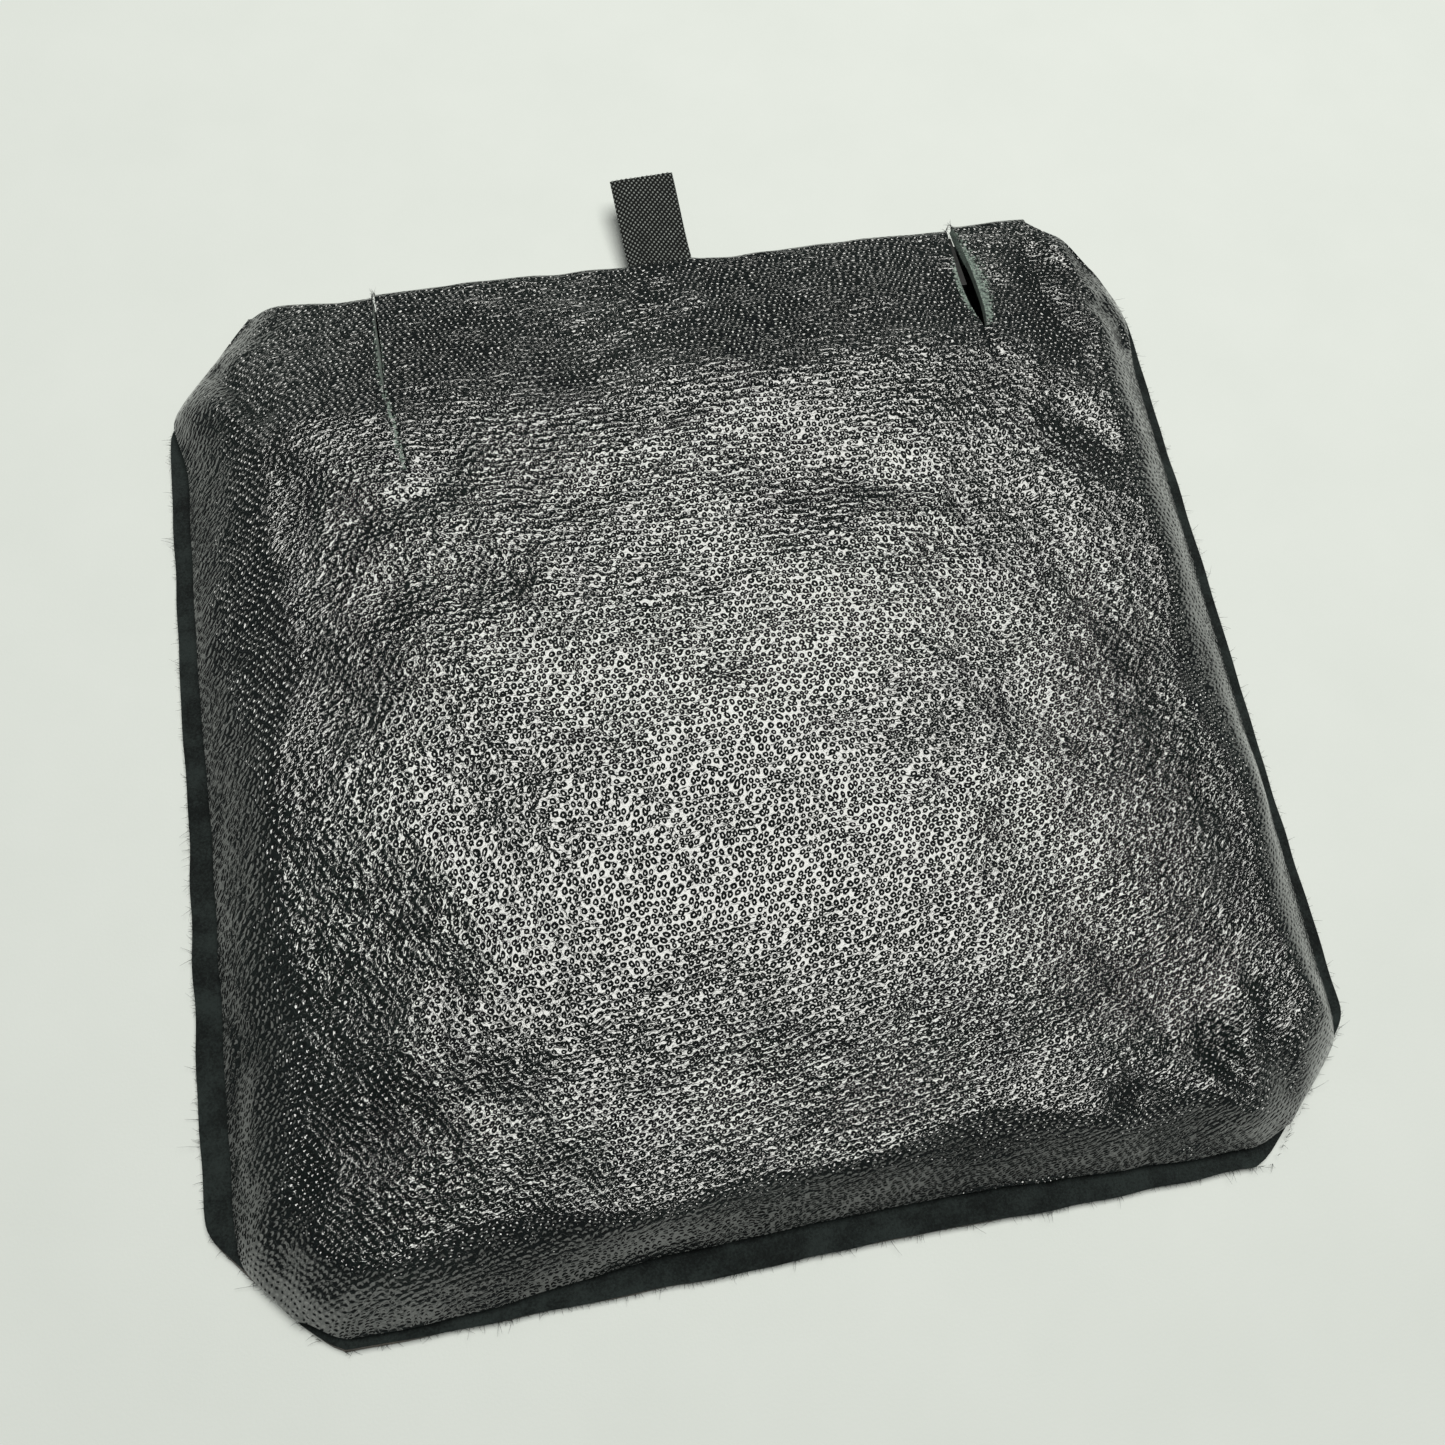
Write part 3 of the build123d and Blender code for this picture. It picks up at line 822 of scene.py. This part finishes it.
def build_front():
    """The front leather: one sheet from the bottom edge to the mouth, slit in two places."""
    skin = Skin()
    high_y = MOUTH_Y - HEM_THICKNESS / 2
    cut = int((SLIT_END_Y - FRONT_LOW[1]) / GRID)  # the row at the slits' lower ends
    low_rows = np.linspace(FRONT_LOW[1], SLIT_END_Y, cut + 1)[:-1]
    high_rows = np.linspace(SLIT_END_Y, high_y, int((high_y - SLIT_END_Y) / GRID) + 1)
    rows = np.concatenate([low_rows, high_rows])
    blocks, outer = front_blocks(rows)
    numbers = {}
    for ear, points in blocks.items():
        x, y = points[..., 0], points[..., 1]
        border = np.minimum(np.abs(x - outer[-1][:, None]), np.abs(x - outer[1][:, None]))
        border = np.minimum(border, y - FRONT_LOW[1])
        thickness = SKIVED + (LEATHER - SKIVED) * smooth_step(border, 0, 3)
        weight = 0.0 if ear else smooth_step(y, SLIT_END_Y, SLIT_END_Y + LIP_BEND)
        numbers[ear] = skin.add(points, grain_flow(x, y), thickness, weight, front_wear(x, y, ear))
    numbers[0][: cut + 1, 0] = numbers[-1][: cut + 1, -1]
    numbers[0][: cut + 1, -1] = numbers[1][: cut + 1, 0]
    for ear, points in blocks.items():
        hem = skin.add(*front_hem(points, rows, ear), 0.0 if ear else 1.0)
        skin.fill(np.concatenate([numbers[ear], hem]))
    thing, weight = skin.mesh("front_leather", [GRAIN, FLESH, SLIT_EDGE])
    paint_outer_rim(thing)
    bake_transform(thing)
    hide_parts("front_panel", "front_lip")


def paint_outer_rim(thing):
    """Gives the rim the outer edge's colour, except in the slits, where the cut is pale."""
    rim, outer = 2, 3  # material slots
    thing.data.materials.append(OUTER_EDGE)
    for face in thing.data.polygons:
        if face.material_index == rim:
            x, y, _ = face.center / MM
            in_slit = y > SLIT_END_Y and min(abs(x - SLIT_LEFT), abs(x - SLIT_RIGHT)) < 2.5
            if not in_slit:
                face.material_index = outer


# ---- back leather


BACK_GRID = 0.8  # spacing of the back's points, which has less relief


def build_back():
    """The back leather: grain down, rough side up, turned up and over at the mouth."""
    skin = Skin()
    high_y = BACK_HIGH[1] - HEM_THICKNESS / 2
    rows = np.append(np.arange(BACK_LOW[1], high_y, BACK_GRID), high_y)
    tucked = 1.0 * smooth_step(rows, 50, 62)
    left = side_line(rows, -1, 0.0, tucked) + side_waves(rows, -1)
    right = side_line(rows, 1, 1.2 * smooth_step(rows, 55, 61), 0.3 + tucked) + side_waves(rows, 1)
    slit_left, slit_right = np.full_like(rows, SLIT_LEFT), np.full_like(rows, SLIT_RIGHT)
    spans = {-1: (left, slit_left, 42), 0: (slit_left, slit_right, 112), 1: (slit_right, right, 32)}
    numbers, edges = {}, {}
    for part, (low_x, high_x, columns) in spans.items():
        x, y = grid_between(rows, low_x, high_x, columns)
        if part:
            y = y + smooth_step(y, rows[-1] - 8, rows[-1]) * (HEM_THICKNESS / 2 - 0.1)
        y = y + low_waves(x) * near_bottom(y, BACK_LOW[1])
        border = np.minimum(x - side_line(y, -1), side_line(y, 1) - x)
        border = np.minimum(border, y - BACK_LOW[1])
        curl = np.exp(-np.clip(border, 0, None) / 1.1)
        z = 0.025 * (1 + rumple(x, y, 30, 61)) + 0.28 * curl * (1 + 0.5 * rumple(x, y, 12, 62))
        points = np.stack([x, y, np.clip(z, 0, None)], axis=-1)
        numbers[part] = skin.add(points, grain_flow(x, y), LEATHER - 0.1 * curl)
        edges[part] = points[-1]
    numbers[0][:, 0] = numbers[-1][:, -1]
    numbers[0][:, -1] = numbers[1][:, 0]
    turned = back_hem(edges[0])
    fold = skin.add(turned, grain_flow(turned[..., 0], turned[..., 1] + turned[..., 2]), LEATHER)
    numbers[0] = np.concatenate([numbers[0], fold])
    for grid in numbers.values():
        skin.fill(grid[:, ::-1])
    thing, _ = skin.mesh("back_leather", [GRAIN, FLESH, OUTER_EDGE])
    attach(thing, "pouch")
    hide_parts("back_panel")


def back_hem(edge):
    """The middle's turned hem. It turns up and over, so it is the front's upside down."""
    flip = (1, 1, -1)
    inward = np.broadcast_to(np.array([0.0, -1.0, 0.0]), edge.shape)
    radius = HEM_THICKNESS / 2
    turned = turned_edge(edge * flip, inward, radius, HEM_LENGTH - radius) * flip
    centre = (SLIT_LEFT + SLIT_RIGHT) / 2
    half = (SLIT_RIGHT - SLIT_LEFT) / 2
    narrowed = 1 - BACK_HEM_INSET / half * turned_share(turned)
    turned[..., 0] = centre + (turned[..., 0] - centre) * narrowed
    return turned


BOND_WIDTH = 2.4  # of the band of cement
BOND_INSET = 0.6  # from the front's cut edge to the band


def bond_line(y, side):
    """x of the cement's outer edge at y."""
    edge = side_line(y, side, front_margin(y, side), CORNER_MARGIN) + side_waves(y, side)
    return edge - side * BOND_INSET


def build_bond():
    """The dried cement between the leathers: a band just inside the front's cut edge."""
    skin = Skin()
    bottom = FRONT_LOW[1] + BOND_INSET
    corner_y = bottom + BOND_WIDTH
    rows = np.linspace(bottom, corner_y, 4)
    x, y = grid_between(rows, bond_line(rows, -1), bond_line(rows, 1), 180)
    bands = [(x, y + low_lift(x))]
    rows = np.arange(corner_y, SLIT_END_Y + 12, 1.0)
    across = np.linspace(0, BOND_WIDTH, 4)
    for side, offsets in ((-1, across), (1, -across[::-1])):
        x = bond_line(rows, side)[:, None] + offsets
        y = np.repeat(rows[:, None], len(across), axis=1)
        bands.append((x, y + low_lift(x) * near_bottom(y, FRONT_LOW[1])))
    for x, y in bands:
        z = LEATHER + 0.42 + 0.05 * rumple(x, y, 6, 71)
        skin.fill(skin.add(np.stack([x, y, z], axis=-1), np.stack([x, y], axis=-1), 0.3))
    thing, _ = skin.mesh("seam_cement", [CEMENT] * 3)
    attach(thing, "pouch")
    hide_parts("seam_bond")


# ---- fibres


HAIR_SHARES = (0.0, 0.35, 0.7, 1.0)  # where along a hair its rings of points are


def hair_rings(rng, root, out, length, radius):
    """The rings of one short curved hair that tapers."""
    out = out + rng.normal(0, 0.55, 3) * (1, 1, 0.5)
    out /= np.linalg.norm(out)
    bend = rng.normal(0, 0.35, 3) * (1, 1, 0.6)
    side = np.cross(out, (0.3, 0.2, 1.0))
    side /= np.linalg.norm(side)
    other = np.cross(out, side)
    rings = []
    for share in HAIR_SHARES:
        centre = root + out * length * share + bend * length * share**2
        centre[2] = max(centre[2], 0.06)
        around = radius * (1 - 0.75 * share)
        angles = [2 * math.pi * i / 3 for i in range(3)]
        rings.append([centre + around * (side * math.cos(a) + other * math.sin(a)) for a in angles])
    return rings


def fibres(name, body, roots, outs, lengths, radius, seed):
    """Loose fibres of the leather, on one body."""
    rng = np.random.default_rng(seed)
    points, faces = [], []
    for root, out, length in zip(np.array(roots), np.array(outs), lengths):
        add_tube(points, faces, hair_rings(rng, root, out, length, radius))
    thing = make_mesh(name, points, faces, [FLESH])
    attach(thing, body)


def build_edge_fibres():
    """Loose fibres along the cut edges of the sides and the bottom."""
    rng = np.random.default_rng(5)
    roots, outs = [], []
    count = 330  # on each edge
    for side in (-1, 1):
        y = rng.uniform(BACK_LOW[1] + 2, BACK_HIGH[1] - 12, count)
        x = side_line(y, side) + side_waves(y, side)
        for px, py in zip(x, y):
            roots.append((px - side * 0.1, py, rng.uniform(0.35, 1.0)))
            outs.append((side, 0.0, 0.1))
    x = rng.uniform(BACK_LOW[0] + 15, BACK_HIGH[0] - 15, count)
    for px, py in zip(x, BACK_LOW[1] + low_waves(x)):
        roots.append((px, py + 0.1, rng.uniform(0.35, 1.0)))
        outs.append((0.0, -1.0, 0.1))
    lengths = 0.35 + rng.exponential(0.28, len(roots)).clip(0, 1.1)
    fibres("edge_fibres", "pouch", roots, outs, lengths, 0.035, 6)


def build_slit_fibres():
    """Tufts at the slits' upper ends."""
    rng = np.random.default_rng(8)
    tufts = {"lip": ((-1, 1), (1, -1)), "ear": ((-1, -1), (1, 1))}
    for part, sides in tufts.items():
        roots, outs = [], []
        for slit, away in sides:
            ear = 0 if part == "lip" else slit
            centre = (SLIT_LEFT if slit < 0 else SLIT_RIGHT) - SLIT_DRIFT
            edge = centre + away * (slit_gap(np.array(MOUTH_Y - 1.0), slit) + 0.05)
            for _ in range(26):
                y = MOUTH_Y - rng.exponential(1.6)
                z = front_height(np.array(edge), np.array(min(y, MOUTH_Y - 1.3)), ear)
                roots.append((edge, min(y, MOUTH_Y - 0.4), float(z) - rng.uniform(0.1, 0.9)))
                outs.append((-away * 0.5, 0.8, 0.4))
        lengths = rng.uniform(0.4, 1.2, len(roots))
        body = "lip" if part == "lip" else "pouch"
        fibres(f"{part}_fibres", body, roots, outs, lengths, 0.04, 9)


# ---- tape


TAPE_THICKNESS = 0.3
TAPE_WIDTH = ENDS_HIGH[0] - ENDS_LOW[0]


def tape_path():
    """The tape's middle line from its sewn end to the fold: its length so far, y, z, direction."""
    step = 0.05
    sewn = ENDS_HIGH[1] - ENDS_LOW[1]
    slope_in = -math.atan2(LIP_HIGH[2] - LIP_TOP_Z, MOUTH_Y - HINGE_Y)
    tab_length = TAB_HIGH[1] - TAB_LOW[1]
    slope_out = math.atan2(TAB_HIGH[2] - TAB_LOW[2] - 2 * TAPE_THICKNESS, tab_length)
    total = sewn + tab_length / math.cos(slope_out) + 0.4
    run = np.arange(0, total, step)
    angle = slope_in + (slope_out - slope_in) * smooth_step(run, sewn - 0.8, sewn + 2.2)
    angle = angle + 0.05 * np.sin((run - sewn) / 5.0) * smooth_step(run, sewn, sewn + 4)
    y = ENDS_LOW[1] + np.cumsum(np.cos(angle)) * step
    z = ENDS_HIGH[2] - TAPE_THICKNESS * 1.15 + np.cumsum(np.sin(angle)) * step
    return run, y, z, angle


def weave_height(across, along):
    """The relief of a plain weave, from 0 to 1, whose rows slope one way and then the other."""
    yarn = across / YARN_PITCH
    pick = along / PICK_PITCH + PICK_SLOPE * np.abs(across - SPINE) / YARN_PITCH
    return np.clip(np.cos(math.pi * yarn) * np.cos(math.pi * pick), 0, 1) ** 0.7


def folded_tape(half):
    """The doubled tape, end to end: its length so far, its middle line, its outward direction.

    half is half the distance between the middles of its two layers.
    """
    run, y, z, angle = tape_path()
    total = run[-1]
    fold = math.pi * half
    around = np.arange(0, 2 * total + fold, FINE_GRID)
    middle, out = [], []
    for s in around:
        if s <= total:
            along, turn = s, math.pi / 2
        elif s < total + fold:
            along, turn = total, math.pi / 2 - (s - total) / half
        else:
            along, turn = 2 * total + fold - s, -math.pi / 2
        direction = np.interp(along, run, angle) + turn
        middle.append((np.interp(along, run, y), np.interp(along, run, z)))
        out.append((math.cos(direction), math.sin(direction)))
    return around, np.array(middle), np.array(out), total


def build_tape():
    """The pull tab: one woven tape, folded in two, its ends sewn inside the lip."""
    half = TAPE_THICKNESS / 2 + 0.02
    around, middle, out, total = folded_tape(half)
    across = np.linspace(0, TAPE_WIDTH, int(TAPE_WIDTH / FINE_GRID) + 1)
    grid_s, grid_x = np.meshgrid(around, across, indexing="ij")
    selvedge = np.minimum(grid_x, across[-1] - grid_x)
    relief = 0.14 * weave_height(grid_x, grid_s) - 0.10 * np.exp(-((selvedge / 0.25) ** 2))
    lift = half + TAPE_THICKNESS / 2 - 0.06 + relief
    wander = 0.036 * np.sin(grid_s / 3.1)
    outside = np.clip(np.minimum(grid_s, 2 * total - grid_s) - 9, 0, None)
    turn = 0.055 * smooth_step(outside, 0, 4)  # the loop lies slightly askew
    x = ENDS_LOW[0] + grid_x + wander - turn * outside
    y = middle[:, :1] + out[:, :1] * lift + turn * (grid_x - across[-1] / 2)
    points = np.stack([x, y, middle[:, 1:] + out[:, 1:] * lift], axis=-1)
    skin = Skin()
    grain = np.stack([grid_x, grid_s], axis=-1)
    skin.fill(skin.add(points, grain, TAPE_THICKNESS - 0.06 + relief * 0.6))
    thing, _ = skin.mesh("pull_tape", [tape_yarn()] * 3)
    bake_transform(thing)
    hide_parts("pull_tab", "pull_tab_ends")


STITCH_COLUMNS = 5  # in each of the two rows
STITCH_STEPS = 10
THREAD_SIDES = 8
THREAD_RADIUS = 0.17


def stitch_rings(x, y, z):
    """The rings of one stitch across the tape: a bowed thread whose plies show."""
    reach = TAPE_WIDTH / STITCH_COLUMNS * 0.42
    rings = []
    for i in range(STITCH_STEPS + 1):
        share = i / STITCH_STEPS * 2 - 1
        bow = 0.22 * (1 - share**2)
        radius = THREAD_RADIUS * (1 + 0.12 * math.sin(i * 2.2))
        ring = []
        for k in range(THREAD_SIDES):
            turn = 2 * math.pi * k / THREAD_SIDES
            height = z - bow + 0.25 + radius * math.sin(turn)
            ring.append((x + reach * share, y + radius * math.cos(turn), height))
        rings.append(ring)
    return rings


def build_stitches():
    """The thread that holds the tape to the lip: two rows of short stitches across it."""
    length = ENDS_HIGH[1] - ENDS_LOW[1]
    slope = (LIP_HIGH[2] - LIP_TOP_Z) / (MOUTH_Y - HINGE_Y)
    points, faces = [], []
    for share in (0.25, 0.75):
        y = ENDS_LOW[1] + length * share
        z = ENDS_HIGH[2] - (y - ENDS_LOW[1]) * slope - 2 * TAPE_THICKNESS - 0.1
        for column in range(STITCH_COLUMNS):
            x = ENDS_LOW[0] + TAPE_WIDTH * (column + 0.5) / STITCH_COLUMNS
            add_tube(points, faces, stitch_rings(x, y, z))
    thread = moulded("sewing_thread", (0.008, 0.008, 0.009), (0.03, 0.03, 0.03), 0.6)
    thing = make_mesh("tab_thread", points, faces, [thread])
    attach(thing, "lip")
    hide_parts("tab_stitching")


# ---- padding and linings


def slab(name, node, soft_edge, waves, material, spacing):
    """A soft layer in the space of its CAD node, with rounded corners and eased edges."""
    low, high = box_mm(node)
    corner = 5.0  # radius
    rows = np.linspace(low[1], high[1], int((high[1] - low[1]) / spacing) + 1)
    near_end = np.clip(corner - np.minimum(rows - low[1], high[1] - rows), 0, corner)
    inset = corner - np.sqrt(corner**2 - near_end**2)
    columns = int((high[0] - low[0]) / spacing) + 1
    x, y = grid_between(rows, low[0] + inset, high[0] - inset, columns)
    border = np.minimum(np.minimum(x - low[0], high[0] - x), np.minimum(y - low[1], high[1] - y))
    ease = soft_edge * np.exp(-border / 1.2)
    wave = waves * rumple(x, y, 26, len(name))
    thickness = high[2] - low[2]
    points = np.stack([x, y, high[2] - ease - np.abs(wave)], axis=-1)
    skin = Skin()
    skin.fill(skin.add(points, np.stack([x, y], axis=-1), thickness - 2 * ease - np.abs(wave)))
    thing, _ = skin.mesh(name, [material] * 3)
    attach(thing, "pouch")
    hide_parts(node)
    return thing


def build_layers():
    """The foam and the cloth on it, on both sides."""
    foam_sheet = foam()
    cloth = woven("lining_weave", (0.006, 0.006, 0.007), (0.022, 0.022, 0.025), 0.45)
    for side in ("front", "back"):
        pad = slab(f"{side}_pad", f"{side}_padding", 0.5, 0.05, foam_sheet, 1.5)
        lining = slab(f"{side}_lining_cloth", f"{side}_lining", 0.0, 0.03, cloth, 1.0)


def dress_hardware():
    """Better materials for the CAD nodes that stay."""
    steel = spring_steel()
    plastic = moulded("black_nylon", (0.006, 0.006, 0.006), (0.016, 0.016, 0.016), 0.5)
    for side in ("front", "back"):
        for node, material in ((f"{side}_stay", steel), (f"{side}_stay_caps", plastic)):
            for holder in frame["nodes"][node].material_slots:
                holder.material = material


# ---- stage


CAMERA_PLACE = np.array([-20.7, -57.6, 179.6])  # this and its directions were fitted to the photo
CAMERA_FORWARD = np.array([0.106, 0.300, -0.948])
CAMERA_RIGHT = np.array([0.983, -0.172, 0.0555])
CAMERA_LENS = 33.28
CAMERA_SENSOR = 36.0


def build_camera():
    """Looking down at the front from a little below its middle, turned slightly."""
    data = bpy.data.cameras.new("camera")
    data.lens = CAMERA_LENS
    data.sensor_width = CAMERA_SENSOR
    data.clip_start = 0.005
    back = -CAMERA_FORWARD / np.linalg.norm(CAMERA_FORWARD)
    right = CAMERA_RIGHT - back * (CAMERA_RIGHT @ back)
    right /= np.linalg.norm(right)
    thing = make_object("camera", data)
    face_along(thing, CAMERA_PLACE * MM, right, back)
    bpy.context.scene.camera = thing


def area_light(name, place, size, power, colour):
    """A square light that faces the origin, with its place and size in metres."""
    data = bpy.data.lights.new(name, "AREA")
    data.shape = "RECTANGLE"
    data.size = size
    data.size_y = size
    data.energy = power
    data.color = colour
    back = np.array(place) / np.linalg.norm(place)
    right = np.cross((0, 1, 0.02), back)
    face_along(make_object(name, data), place, right / np.linalg.norm(right), back)


LIGHT_PLACE = (0.115, 0.215, 0.85)  # in metres, like its size
LIGHT_SIZE = 0.56
LIGHT_POWER = 8.2
FLOOR_REACH = 1500.0  # to each side
FLOOR_GAP = 0.02  # below the object, so that the two faces don't coincide


def build_stage():
    """The paper, one large soft light from above and a faint light all round."""
    r = FLOOR_REACH
    corners = [(-r, -r, 0), (r, -r, 0), (r, r, 0), (-r, r, 0)]
    floor = make_mesh("floor", corners, [(0, 1, 2, 3)], [paper()])
    floor.location.z = -FLOOR_GAP * MM
    area_light("ceiling", LIGHT_PLACE, LIGHT_SIZE, LIGHT_POWER, (1.0, 1.0, 0.94))
    world = bpy.data.worlds.new("room")
    world.use_nodes = True
    background = world.node_tree.nodes["Background"].inputs
    background["Color"].default_value = (0.92, 1.0, 0.97, 1)
    background["Strength"].default_value = 0.06
    bpy.context.scene.world = world
    bpy.context.scene.view_settings.view_transform = "Standard"


build_front()
build_back()
build_bond()
build_edge_fibres()
build_slit_fibres()
build_tape()
build_stitches()
build_layers()
dress_hardware()
build_stage()
build_camera()
